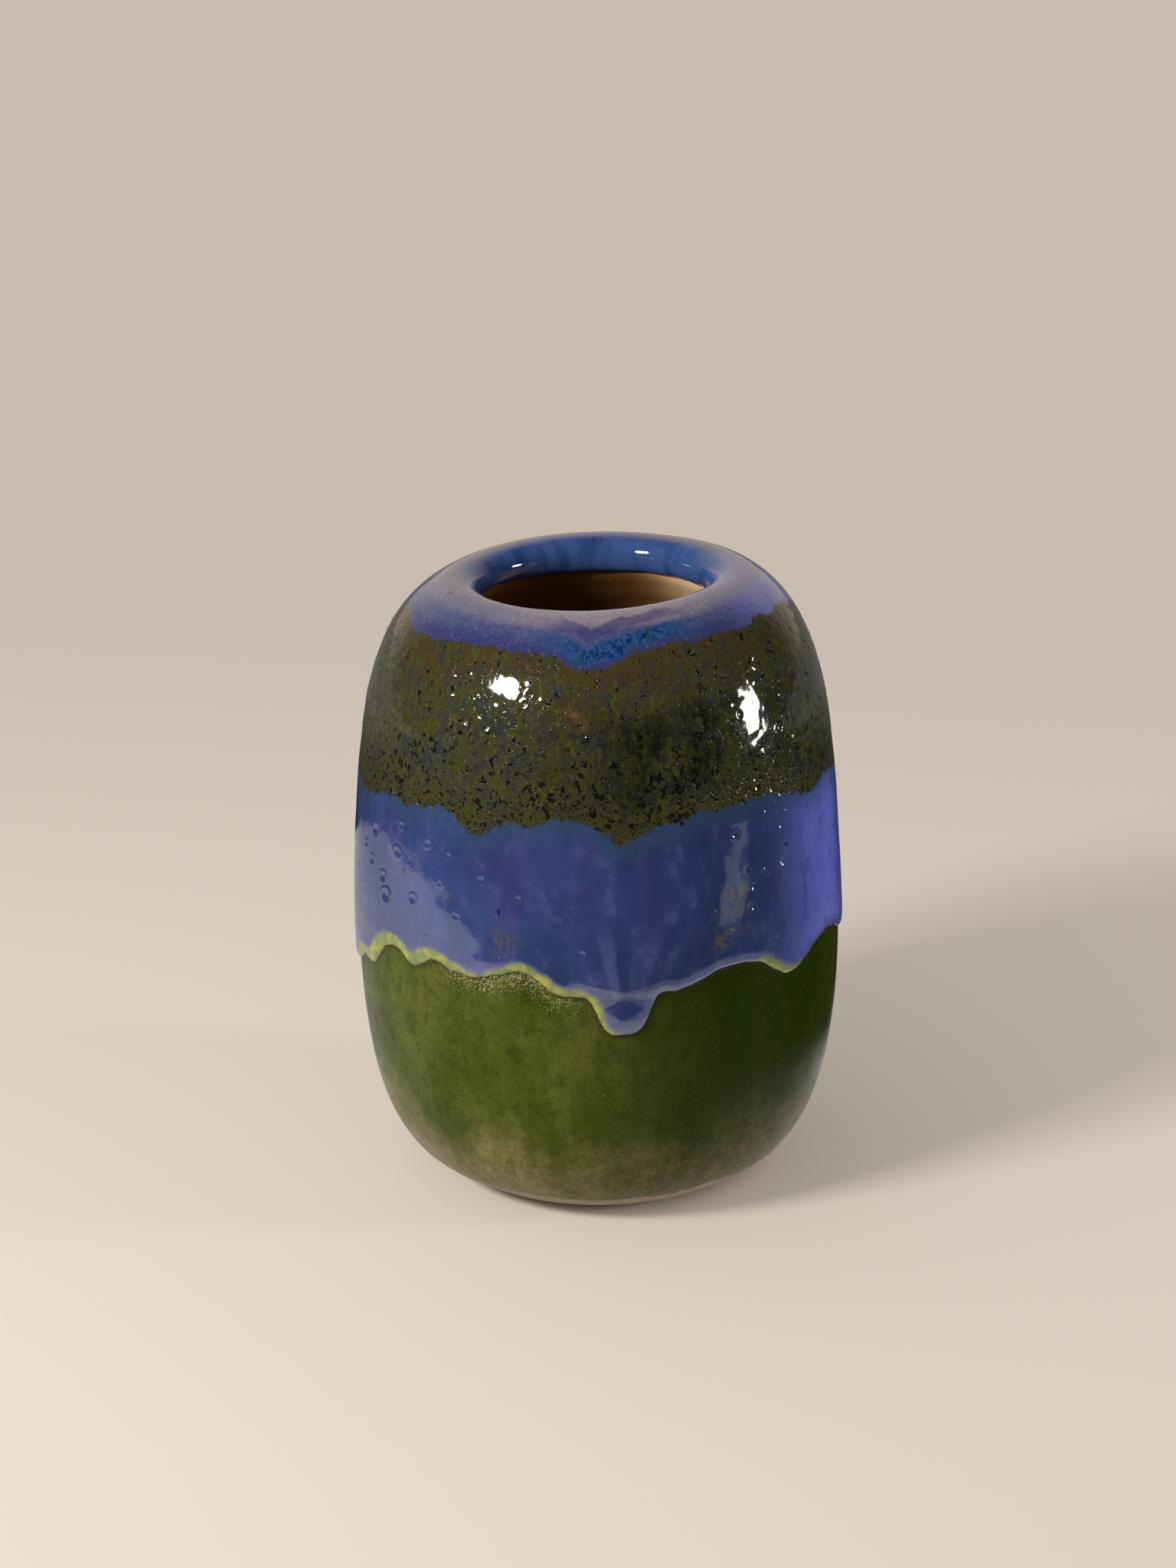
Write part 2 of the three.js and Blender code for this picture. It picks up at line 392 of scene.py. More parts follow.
def fine_steps(count, first, growth, coarse):
    """Steps that grow from the first to the coarse one."""
    steps = np.minimum(first * growth ** np.arange(count), coarse)
    return np.concatenate([[0], np.cumsum(steps)])


def coat_rows(start, end, edge_steps, step):
    """Places of a coat's rows: steps near its lower edge, then an even share of the rest."""
    edge = start[None, :] + edge_steps[:, None]
    rest = end - edge[-1]
    count = max(2, int(np.ceil(rest.max() / step)))
    share = (np.arange(1, count + 1) / count)[:, None]
    return np.concatenate([edge, edge[-1][None, :] + rest[None, :] * share])


def stand_for(piece, node, material):
    """The piece rides on the one body, stands for its CAD node, and gets its finish."""
    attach(piece, "root")
    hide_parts(node)
    piece.data.materials.append(material)


def coat(name, place, outer, inner, attributes):
    """One coat of glaze: a closed band with an outer and an inner face."""
    rows = place.shape[0]
    back = np.unique(np.linspace(0, rows - 1, max(6, rows // 5)).astype(int))[::-1]
    angle = np.broadcast_to(ANGLES, place.shape)
    shell_place = np.concatenate([place, place[back]])
    shell_offset = np.concatenate([outer, inner[back]])
    shell_angle = np.broadcast_to(ANGLES, shell_place.shape)
    points = wall_points(shell_angle, shell_place, shell_offset)
    ring = shell_place.shape[0]

    def sharp(ends):
        row = ends // COLUMNS
        return (row[:, 0] == row[:, 1]) & np.isin(row[:, 0], [0, rows - 1, rows, ring - 1])

    piece = make_object(name, points, ring_faces(ring, COLUMNS, True), sharp)
    turn = np.radians(angle)
    flow = np.stack([MEAN_RADIUS * np.sin(turn), -MEAN_RADIUS * np.cos(turn), place], axis=-1)
    add_attribute(piece.data, "flow", np.concatenate([flow, flow[back]]))
    for key, values in attributes.items():
        add_attribute(piece.data, key, np.concatenate([values, values[back]]))
    return piece


def spot_sum(angle, place, spots):
    """Sum of soft round spots."""
    total = np.zeros(place.shape)
    for at, height, radius, strength in spots:
        total += strength * np.exp(-(away_from(angle, place, at, height) / radius) ** 2)
    return total


def around(angle, spans):
    """Strongest of the soft stretches round the vase."""
    total = np.zeros(np.shape(angle))
    for at, half, strength in spans:
        total = np.maximum(total, strength * np.exp(-(turn_from(angle, at) / half) ** 4))
    return total


# Stretches round the vase: middle, half width and strength.
LIME = [(-55, 28, 1.0), (-12, 18, 0.7), (46, 8, 0.6), (130, 25, 0.9), (-150, 28, 1.0), (18, 14, 0.12)]
SPECKS = [(-22, 22, 1.0), (110, 30, 0.8), (-140, 30, 0.9)]
TEAL = [(8, 24, 1.0), (150, 30, 0.8)]
# Where the painted sheen on the crest is palest.
SHEEN_FRONT = [(8, 42, 1.0)]
# Painted shade on the blue and olive coats: strongest on the right of the front, away from the key light,
# weaker at the back.
SHADE_UPPER = [(20, 20, 1.0), (32, 44, 0.45), (150, 40, 0.7), (-125, 25, 0.6)]
# Painted shade on the green coat, on the right and at the back.
SHADE_GREEN = [(44, 42, 1.0), (175, 40, 0.8)]
# Dust on the green, strongest low on the left, where it also carries painted sheen of the lit floor.
DUST_AND_SHEEN_GREEN = [(-50, 50, 1.0), (80, 30, 0.6), (150, 60, 0.8)]
# Where the blue is brighter: partly its own colour and partly painted light from the side lamp, with painted
# sheen near its edge and on the rim.
LIT_AND_BRIGHT = [(82, 30, 1.0), (-160, 40, 0.6)]
# Painted light on the right of the inside of the mouth, and painted shade at its back.
INSIDE_PAINTED_LIGHT = [(110, 36, 1.0)]
INSIDE_DIM = [(185, 38, 1.0)]

# Soft round spots: angle, height, radius and strength.
STAINS = [
    (32.9, 53.8, 1.3, 1.0), (28, 47, 1.2, 0.7), (31, 50, 3.0, 0.35), (-36.5, 53, 1.2, 0.5),
    (-22, 48.3, 2.2, 0.6), (120, 58, 2.0, 0.7), (-130, 52, 2.4, 0.7), (165, 55, 1.6, 0.6),
]
RUST = [
    (-6.4, 81.9, 0.9, 1.0), (-4.6, 81.3, 0.8, 0.8), (-2.8, 80.2, 0.8, 0.6), (140, 80, 2, 0.8),
    (-100, 77, 2, 0.7),
]


def drip_fans(angle, place):
    """Pale streaks that spread upwards from the heavy drops."""
    total = np.zeros(place.shape)
    for at, above, extra in DROPS:
        across = np.radians(turn_from(angle, at)) * DRIP_RADIUS
        up = place - drip_edge(np.array([float(at)]))[0] - above
        spread = np.exp(-(across / (2.5 + 0.55 * np.clip(up, 0, 30))) ** 4)
        heading = np.degrees(np.arctan2(across, up + 4))
        rays = ease(waves(heading * 4, 0, 51, 42, 7), -0.6, 1.4)
        total = np.maximum(total, extra * spread * rays * ease(up, 1, 4) * (1 - ease(up, 7, 15)))
    return total


def zone_attributes(place):
    angle = np.broadcast_to(ANGLES, place.shape)
    drip_gap = distance_to(DRIP_PLACE, angle, place)
    olive_gap = distance_to(OLIVE_PLACE, angle, place)
    rim_gap = distance_to(RIM_PLACE, angle, place)
    return angle, drip_gap, olive_gap, rim_gap


def upper_attributes(angle, place, drip_gap, olive_gap, rim_gap):
    bubble, surround = bubble_marks(angle, place)
    return {
        "drip_gap": drip_gap,
        "olive_gap": olive_gap,
        "rim_gap": rim_gap,
        "beyond_crest": place - CREST_PLACE,
        "lime": around(angle, LIME),
        "stain": spot_sum(angle, place, STAINS),
        "rust": spot_sum(angle, place, RUST),
        "fan": drip_fans(angle, place),
        "bubble": bubble,
        "surround": surround,
        "teal": around(angle, TEAL),
        "front": around(angle, SHEEN_FRONT),
        "painted_shade": around(angle, SHADE_UPPER),
        "lit_and_bright": around(angle, LIT_AND_BRIGHT),
    }


def upper_coat(name, place, inner, thins_to_end=False):
    angle, drip_gap, olive_gap, rim_gap = zone_attributes(place)
    outer = upper_offset(angle, place, drip_gap, olive_gap, rim_gap)
    if thins_to_end:
        to_end = np.clip((END_PLACE[None, :] - place) / 1.4, 0, 1)
        outer = SEAT + SKIN + (outer - SEAT) * np.sqrt(1 - (1 - to_end) ** 2)
    return coat(name, place, outer, inner, upper_attributes(angle, place, drip_gap, olive_gap, rim_gap))


def build_blue():
    place = coat_rows(DRIP_PLACE, OLIVE_PLACE, fine_steps(14, 0.05, 1.22, 0.28), 0.3)
    rise = place - DRIP_PLACE
    under = GREEN_THICKNESS + surface_relief(np.broadcast_to(ANGLES, place.shape), place)
    past_green = SEAT + (under - SEAT) * (1 - ease(rise, GREEN_LAP, GREEN_LAP + 1.5))
    return upper_coat("blue_coat", place, np.where(rise < GREEN_LAP, under + SKIN, past_green))


def build_olive():
    place = coat_rows(OLIVE_PLACE, RIM_PLACE, fine_steps(2, 0.25, 1, 0.25), 0.27)
    return upper_coat("olive_coat", place, np.full(place.shape, SEAT))


def build_rim():
    place = coat_rows(RIM_PLACE, END_PLACE, fine_steps(2, 0.25, 1, 0.25), 0.25)
    return upper_coat("rim_coat", place, np.full(place.shape, SEAT), thins_to_end=True)


def build_green():
    top = DRIP_PLACE + GREEN_LAP
    place = coat_rows(FOOT_PLACE, top, fine_steps(8, 0.08, 1.3, 0.45), 0.45)
    angle = np.broadcast_to(ANGLES, place.shape)
    foot_gap = distance_to(FOOT_PLACE, angle, place, 12)
    drip_gap = distance_to(DRIP_PLACE, angle, place)
    under = GREEN_THICKNESS + surface_relief(angle, place)
    near = np.clip(foot_gap / 1.8, 0, 1)
    outer = SEAT + (under - SEAT) * np.sqrt(1 - (1 - near) ** 2)
    attributes = {
        "drip_gap": drip_gap,
        "foot_gap": foot_gap,
        "speck_zone": around(angle, SPECKS),
        "painted_shade": around(angle, SHADE_GREEN),
        "dust_and_sheen": 0.45 + 0.55 * around(angle, DUST_AND_SHEEN_GREEN),
    }
    return coat("green_coat", place, outer + SKIN, np.full(place.shape, SEAT), attributes)


# Foot ring from the edge of the recess to the bevel round the outside.
FOOT = [
    (RECESS_RADIUS + 0.3, RECESS_DEPTH - 0.15), (FOOT_INNER_RADIUS - 0.5, 0.25), (FOOT_INNER_RADIUS, 0.03),
    (FOOT_INNER_RADIUS + 0.4, 0), (18, 0), (20.1, 0), (20.6, 0.07), (21.3, 0.24), (22.2, 0.5),
]
FOOT_BEVEL = 0.75         # height at which the wall starts above the bevel


def build_clay():
    """The clay wall with its foot ring, in one skin that closes on the axis at both ends."""
    columns = 480
    angle = np.arange(columns) * 360 / columns
    recess = [(RECESS_RADIUS * share, RECESS_DEPTH) for share in (0.02, 0.25, 0.5, 0.75, 0.93)]
    base = np.array(recess + FOOT)
    outside = np.arange(place_at_height(FOOT_BEVEL), CREST_PLACE - 6, 0.6)
    lip = np.arange(CREST_PLACE - 6, CREST_PLACE + 8, 0.35)
    cavity = np.arange(lip[-1] + 0.35, WALL_PLACE[-1] - 0.4, 0.7)
    place = np.concatenate([outside, lip, cavity])
    grid_place = np.broadcast_to(place[:, None], (len(place), columns))
    inside = ease(grid_place, CREST_PLACE + 3.5, CREST_PLACE + 9)
    inside = inside * (1 - ease(grid_place, place[-1] - 8, place[-1] - 2))
    rings = 0.03 * np.sin(grid_place * 2 * math.pi / 4.6 + 0.9 * waves(angle, grid_place * 0.3, 41, 50))
    rough = 0.02 * waves(angle, grid_place, 42, 7) * ease(grid_place, 1, 4)
    points = wall_points(angle, grid_place, rings * inside + rough * inside)
    foot = turned(angle[None, :], base[:, :1], base[:, 1:])
    points = np.concatenate([foot, points])
    rows = points.shape[0]
    faces = ring_faces(rows, columns, False).tolist()
    low = rows * columns
    high = low + 1
    poles = np.array([[0, 0, RECESS_DEPTH], [0, 0, WALL[-1, 1]]])
    for column in range(columns):
        beside = (column + 1) % columns
        faces.append((low, beside, column))
        faces.append((high, (rows - 1) * columns + column, (rows - 1) * columns + beside))
    piece = make_object("thrown_clay", np.concatenate([points.reshape(-1, 3), poles]), faces)
    # How far inside the mouth a point is; there the clay takes a painted cavity shade.
    depth = ease(grid_place, CREST_PLACE + 3, CREST_PLACE + 6)
    # Painted light on the right of the inside, where the key light falls, and painted shade at the back.
    glow = around(angle, INSIDE_PAINTED_LIGHT) * depth * (1 - ease(grid_place, CREST_PLACE + 20, CREST_PLACE + 32))
    dim = around(angle, INSIDE_DIM) * depth
    foot_values = np.zeros(len(base) * columns)
    pole_values = [0, 1]
    for key, values in (("depth", depth), ("glow", glow), ("dim", dim)):
        add_attribute(piece.data, key, np.concatenate([foot_values, values.reshape(-1), pole_values]))
    return piece


# ---------------------------------------------------------------- materials
def rgb(red, green, blue):
    """A colour from its display values, 0 to 255."""
    shares = [value / 255 for value in (red, green, blue)]
    return (*(((s + 0.055) / 1.055) ** 2.4 if s > 0.04 else s / 12.92 for s in shares), 1.0)


class Nodes:
    """Short names for the nodes of one tree."""

    def __init__(self, tree):
        self.tree = tree

    def node(self, kind, inputs=(), **settings):
        made = self.tree.nodes.new(kind)
        for key, value in settings.items():
            setattr(made, key, value)
        for socket, value in dict(inputs).items():
            self.put(made.inputs[socket], value)
        return made

    def put(self, socket, value):
        if isinstance(value, bpy.types.NodeSocket):
            self.tree.links.new(value, socket)
        else:
            socket.default_value = value

    def math(self, operation, first, second=0.0):
        return self.node("ShaderNodeMath", {0: first, 1: second}, operation=operation).outputs[0]

    def times(self, *values):
        result = values[0]
        for value in values[1:]:
            result = self.math("MULTIPLY", result, value)
        return result

    def plus(self, first, second):
        return self.math("ADD", first, second)

    def ease(self, value, low, high, to_low=0.0, to_high=1.0):
        inputs = {"Value": value, "From Min": low, "From Max": high, "To Min": to_low, "To Max": to_high}
        return self.node("ShaderNodeMapRange", inputs, interpolation_type="SMOOTHSTEP").outputs["Result"]

    def band(self, value, start, end, soft):
        """1 between start and end, easing to 0 over soft on both sides."""
        return self.times(self.ease(value, start - soft, start), self.ease(value, end, end + soft, 1.0, 0.0))

    def mix(self, share, first, second):
        return self.node("ShaderNodeMix", {0: share, 6: first, 7: second}, data_type="RGBA").outputs[2]


class Finish(Nodes):
    """A material and short names for what its colour is made of. Lengths are millimetres."""

    def __init__(self, name, roughness):
        self.material = bpy.data.materials.new(name)
        self.material.use_nodes = True
        super().__init__(self.material.node_tree)
        self.shader = self.tree.nodes["Principled BSDF"]
        self.shader.inputs["Roughness"].default_value = roughness

    def value(self, name):
        return self.node("ShaderNodeAttribute", attribute_name=name).outputs["Fac"]

    def flow(self, along=1.0):
        """Place on the surface, with features drawn out up the wall when along is below 1."""
        place = self.node("ShaderNodeAttribute", attribute_name="flow").outputs["Vector"]
        return self.node("ShaderNodeMapping", {"Vector": place, "Scale": (1, 1, along)}).outputs["Vector"]

    def noise(self, vector, length, detail=2.0, roughness=0.5, bend=0.0):
        inputs = {"Vector": vector, "Scale": 1 / length, "Detail": detail, "Roughness": roughness,
                  "Distortion": bend}
        return self.node("ShaderNodeTexNoise", inputs).outputs["Fac"]

    def cells(self, vector, length):
        made = self.node("ShaderNodeTexVoronoi", {"Vector": vector, "Scale": 1 / length})
        return made.outputs["Distance"], made.outputs["Color"]

    def spots(self, length, radius, share, along=1.0, bend=None):
        """Scattered round spots of a radius in millimetres, on a share of the cells of a length."""
        vector = self.flow(along)
        distance, colour = self.cells(vector, length)
        if bend is not None:
            distance = self.plus(distance, self.times(self.math("SUBTRACT", bend, 0.5), 0.5))
        chance = self.node("ShaderNodeSeparateColor", {"Color": colour}).outputs["Red"]
        size = radius / length
        inside = self.ease(distance, size * 0.75, size * 1.15, 1.0, 0.0)
        return self.times(inside, self.math("LESS_THAN", chance, share))

    def dot(self, first, second):
        """Dot product of a vector socket with a direction on the floor."""
        inputs = {0: first, 1: (*second, 0)}
        return self.node("ShaderNodeVectorMath", inputs, operation="DOT_PRODUCT").outputs["Value"]

    def disc(self, place, middle, radius, soft, rough):
        """1 inside a circle on the floor."""
        away = self.node("ShaderNodeVectorMath", {0: place, 1: (*middle, 0)}, operation="DISTANCE")
        away = self.plus(away.outputs["Value"], rough)
        return self.ease(away, radius - soft, radius + soft, 1.0, 0.0)

    def strip(self, place, start, end, half, rough):
        """1 within a half width of the line from start to end on the floor."""
        ahead = Vector(end) - Vector(start)
        across = Vector((-ahead.y, ahead.x)).normalized()
        offset = self.node("ShaderNodeVectorMath", {0: place, 1: (*start, 0)}, operation="SUBTRACT")
        offset = offset.outputs["Vector"]
        aside = self.plus(self.math("ABSOLUTE", self.dot(offset, across)), rough)
        share = self.dot(offset, ahead / ahead.length_squared)
        inside = self.ease(aside, half - 0.003, half + 0.003, 1.0, 0.0)
        return self.times(inside, self.band(share, 0.0, 1.0, 0.04))

    def finish(self, colour, roughness=None, height=None, depth=0.1):
        self.put(self.shader.inputs["Base Color"], colour)
        if roughness is not None:
            self.put(self.shader.inputs["Roughness"], roughness)
        if height is not None:
            bump = self.node("ShaderNodeBump", {"Height": height, "Distance": depth * UNIT, "Strength": 1.0})
            self.put(self.shader.inputs["Normal"], bump.outputs["Normal"])
        return self.material


GLAZE_INDEX = 1.68        # refractive index of the upper coats

DEEP_BLUE = rgb(40, 59, 104)
MID_BLUE = rgb(51, 67, 122)
BRIGHT_BLUE = rgb(104, 118, 222)
PAINTED_SHEEN = rgb(120, 128, 212)
VIOLET = rgb(66, 55, 116)
PALE_BLUE = rgb(84, 92, 144)
NIGHT_BLUE = rgb(36, 46, 92)
TEAL_BLUE = rgb(48, 72, 100)
LIME_YELLOW = rgb(152, 156, 28)
LIME_GREEN = rgb(106, 122, 36)
STAIN_OLIVE = rgb(92, 88, 50)
PIT_BLACK = rgb(12, 12, 14)
BUBBLE_GREY = rgb(70, 78, 66)
OLIVE = rgb(63, 65, 30)
YELLOW_GREEN = rgb(84, 83, 33)
SLATE = rgb(48, 50, 60)
BROWN = rgb(66, 52, 29)
RUST_RED = rgb(98, 68, 48)
OLIVE_DARK = rgb(18, 19, 16)
FRINGE = rgb(61, 58, 29)
LAVENDER = rgb(73, 79, 120)
RIM_BLUE = rgb(48, 56, 104)
CREST_SHEEN_GREY = rgb(110, 108, 126)
PALE_DOTS_AND_SHEEN = rgb(152, 143, 150)
RIM_VIOLET = rgb(58, 57, 106)
TURQUOISE = rgb(38, 76, 130)
DEEP_TEAL = rgb(6, 44, 92)
TEAL_GREEN = rgb(26, 72, 76)
COBALT = rgb(58, 84, 140)
GREEN = rgb(86, 94, 38)
GREEN_DEEP = rgb(60, 73, 12)
GREEN_DARK = rgb(31, 45, 2)
GREEN_DUST_SHEEN = rgb(146, 130, 98)
CREASE_SHADE = rgb(52, 50, 26)
SPECK_PALE = rgb(158, 156, 116)
CLAY_TAN = rgb(152, 134, 102)
CLAY_BUFF = rgb(142, 130, 104)
CLAY_BROWN = rgb(122, 88, 58)
CLAY_CAVITY_SHADE = rgb(158, 108, 36)
CLAY_SHADE = rgb(84, 54, 12)
CLAY_PAINTED_LIGHT = rgb(255, 222, 176)


def blue_colour(f):
    cloud = f.noise(f.flow(0.5), 9, 3)
    streak = f.noise(f.flow(0.2), 4.5, 2)
    colour = f.mix(f.ease(cloud, 0.35, 0.65), DEEP_BLUE, MID_BLUE)
    colour = f.mix(f.times(f.ease(streak, 0.42, 0.72), 0.55), colour, VIOLET)
    # Painted shade on the side away from the key light.
    colour = f.mix(f.times(f.value("painted_shade"), 0.4), colour, NIGHT_BLUE)
    # Partly a brighter blue and partly painted light on the right, where the side lamp falls.
    colour = f.mix(f.value("lit_and_bright"), colour, BRIGHT_BLUE)
    colour = f.mix(f.times(f.ease(cloud, 0.5, 0.7), f.value("lit_and_bright"), 0.35), colour, MID_BLUE)
    # Painted reflection: a pale sheen of the floor cloth just above the blue's edge on the right.
    low = f.times(f.ease(f.value("drip_gap"), 8, 1), f.value("lit_and_bright"))
    colour = f.mix(f.times(low, 0.5), colour, PAINTED_SHEEN)
    drip_gap = f.plus(f.value("drip_gap"), f.times(f.math("SUBTRACT", f.noise(f.flow(), 2.2, 2), 0.5), 1.2))
    colour = f.mix(f.times(f.value("fan"), 0.8), colour, PALE_BLUE)
    colour = f.mix(f.times(f.ease(drip_gap, 0.8, 2.2, 1.0, 0.0), 0.6), colour, PALE_BLUE)
    soft = f.noise(f.flow(0.7), 3.2, 5, 0.65)
    colour = f.mix(f.ease(soft, 0.5, 0.7, 0.0, 0.4), colour, PALE_BLUE)
    colour = f.mix(f.ease(soft, 0.5, 0.32, 0.0, 0.35), colour, NIGHT_BLUE)
    colour = f.mix(f.ease(f.value("olive_gap"), -4.5, 0.3, 0.0, 0.6), colour, TEAL_BLUE)
    stain_noise = f.noise(f.flow(0.6), 0.9, 3)
    stain = f.times(f.value("stain"), f.ease(stain_noise, 0.42, 0.6))
    colour = f.mix(stain, colour, STAIN_OLIVE)
    lime_share = f.value("lime")
    lime_width = f.plus(f.times(lime_share, 2.2), 0.05)
    lime = f.ease(f.math("SUBTRACT", drip_gap, lime_width), -0.7, 0.4, 1.0, 0.0)
    lime = f.times(lime, f.ease(lime_share, 0.05, 0.5))
    lime_colour = f.mix(f.ease(f.noise(f.flow(), 1.8, 4, 0.6), 0.38, 0.6), LIME_YELLOW, LIME_GREEN)
    return f.mix(f.times(lime, 0.9), colour, lime_colour)


def olive_colour(f):
    fine = f.noise(f.flow(0.8), 0.75, 4, 0.68)
    mottle = f.noise(f.flow(0.65), 1.9, 5, 0.68)
    patch = f.noise(f.flow(0.8), 7, 3)
    # Painted shade: the olive is painted darkest at half height on its shaded side, over darker patches of
    # its own.
    half_height = f.band(f.value("olive_gap"), 6, 13, 5)
    deep = f.times(f.value("painted_shade"), half_height, f.ease(mottle, 0.62, 0.4, 0.55, 0.95))
    shade = f.times(f.ease(patch, 0.22, 0.54), f.plus(f.times(deep, 0.88), 0.12))
    colour = f.mix(f.ease(mottle, 0.30, 0.62), SLATE, OLIVE)
    colour = f.mix(shade, colour, OLIVE_DARK)
    flecks = f.times(f.ease(fine, 0.5, 0.74), f.math("SUBTRACT", 1.0, f.times(shade, 0.75)))
    colour = f.mix(f.times(flecks, 0.9), colour, YELLOW_GREEN)
    colour = f.mix(f.times(f.ease(fine, 0.28, 0.48, 1.0, 0.0), 0.45), colour, OLIVE_DARK)
    rim_gap = f.value("rim_gap")
    brown = f.times(f.ease(f.noise(f.flow(0.6), 2.0, 3), 0.42, 0.6), f.ease(rim_gap, -9, -1))
    colour = f.mix(f.times(brown, 0.75), colour, BROWN)
    colour = f.mix(f.times(f.value("rust"), f.ease(f.noise(f.flow(), 1.2, 3), 0.4, 0.6)), colour, RUST_RED)
    fringe = f.times(f.ease(f.value("olive_gap"), 1.0, 4.0, 1.0, 0.0), 0.8)
    colour = f.mix(f.times(fringe, f.ease(fine, 0.3, 0.6)), colour, FRINGE)
    colour = f.mix(f.times(f.value("bubble"), 0.22), colour, BUBBLE_GREY)
    return f.mix(f.times(f.value("surround"), f.ease(mottle, 0.4, 0.55), 0.8), colour, PIT_BLACK)


def olive_specks(f):
    """Black irregular specks, close together low on the coat and very fine in its fringe."""
    olive_gap = f.value("olive_gap")
    crowd = f.times(f.math("SUBTRACT", f.noise(f.flow(), 6, 2), 0.5), 0.25)
    low = f.ease(olive_gap, 18, 6, -0.005, 0.04)
    large = f.plus(f.noise(f.flow(), 1.15, 2, 0.75), f.plus(crowd, low))
    fringe = f.ease(olive_gap, 6, 1.5, 0.0, 0.10)
    small = f.plus(f.noise(f.flow(), 0.46, 1, 0.6), fringe)
    return f.math("MAXIMUM", f.ease(large, 0.63, 0.65), f.ease(small, 0.67, 0.72))


def rim_colour(f):
    rim_gap = f.plus(f.value("rim_gap"), f.times(f.math("SUBTRACT", f.noise(f.flow(), 3, 3), 0.5), 2.2))
    cloud = f.noise(f.flow(), 4, 4, 0.6)
    colour = f.mix(f.ease(rim_gap, 0.8, 3.2), RIM_BLUE, LAVENDER)
    colour = f.mix(f.times(f.ease(cloud, 0.5, 0.68), 0.5), colour, RIM_VIOLET)
    grain = f.noise(f.flow(), 1.3, 4, 0.7)
    colour = f.mix(f.ease(grain, 0.5, 0.7, 0.0, 0.6), colour, RIM_BLUE)
    # Painted sheen on the right of the rim.
    colour = f.mix(f.times(f.value("lit_and_bright"), 0.6), colour, PAINTED_SHEEN)
    # Painted sheen: a grey band over the crest of the lip, paler at the front.
    crest = f.times(f.band(f.value("beyond_crest"), -2.3, 0.2, 2.0), f.ease(grain, 0.7, 0.3, 0.5, 0.8))
    colour = f.mix(crest, colour, f.mix(f.value("front"), CREST_SHEEN_GREY, PALE_DOTS_AND_SHEEN))
    dots = f.noise(f.flow(), 0.5, 3, 0.7)
    colour = f.mix(f.ease(dots, 0.54, 0.7, 0.0, 0.5), colour, RIM_BLUE)
    colour = f.mix(f.ease(dots, 0.44, 0.3, 0.0, 0.3), colour, PALE_DOTS_AND_SHEEN)
    teal = f.value("teal")
    teal_band = f.times(teal, f.band(rim_gap, 1.3, 3.0, 0.8))
    colour = f.mix(f.times(teal_band, 0.9), colour, TURQUOISE)
    vein = f.ease(f.noise(f.flow(), 0.8, 3, 0.6, 1.0), 0.45, 0.58)
    colour = f.mix(f.times(teal_band, teal_band, vein, 0.95), colour, DEEP_TEAL)
    green = f.times(teal_band, f.ease(f.noise(f.flow(), 2.5, 2), 0.6, 0.72))
    colour = f.mix(green, colour, TEAL_GREEN)
    violet_band = f.times(teal, f.band(rim_gap, 4.6, 5.8, 0.5))
    colour = f.mix(f.times(violet_band, 0.7), colour, RIM_VIOLET)
    inside = f.ease(f.value("beyond_crest"), 0.2, 2.0)
    throat = f.mix(f.ease(f.noise(f.flow(), 6, 3), 0.4, 0.7, 0.0, 0.6), COBALT, DEEP_TEAL)
    return f.mix(inside, colour, throat)


def upper_finish(name):
    """The blue, olive and rim coats share one colour, so that they run into each other."""
    f = Finish(name, 0.06)
    f.put(f.shader.inputs["IOR"], GLAZE_INDEX)
    ragged = f.math("SUBTRACT", f.noise(f.flow(0.8), 1.1, 4, 0.65), 0.5)
    to_olive = f.ease(f.plus(f.value("olive_gap"), f.times(ragged, 2.6)), -0.5, 0.4)
    to_rim = f.ease(f.plus(f.value("rim_gap"), f.times(ragged, 1.8)), -0.3, 0.3)
    specks = f.times(olive_specks(f), to_olive, f.math("SUBTRACT", 1.0, to_rim))
    pits = f.spots(5.0, 0.28, 0.42, 0.8, f.noise(f.flow(), 0.6, 2))
    colour = f.mix(to_olive, blue_colour(f), olive_colour(f))
    colour = f.mix(f.times(specks, 0.92), colour, PIT_BLACK)
    colour = f.mix(to_rim, colour, rim_colour(f))
    colour = f.mix(f.times(pits, 0.85), colour, PIT_BLACK)
    fine = f.noise(f.flow(), 0.55, 2)
    blisters = f.spots(2.0, 0.17, 0.3)
    raised = f.plus(f.times(fine, 0.12), f.times(blisters, 0.8))
    height = f.math("SUBTRACT", raised, f.plus(f.times(specks, 0.35), f.times(pits, 0.8)))
    crystals = f.times(f.value("lime"), f.ease(f.value("drip_gap"), 0.8, 2.6, 1.0, 0.0))
    roughness = f.plus(f.ease(f.noise(f.flow(), 3, 3), 0.3, 0.7, 0.04, 0.08), f.times(crystals, 0.32))
    return f.finish(colour, roughness, height, 0.03)


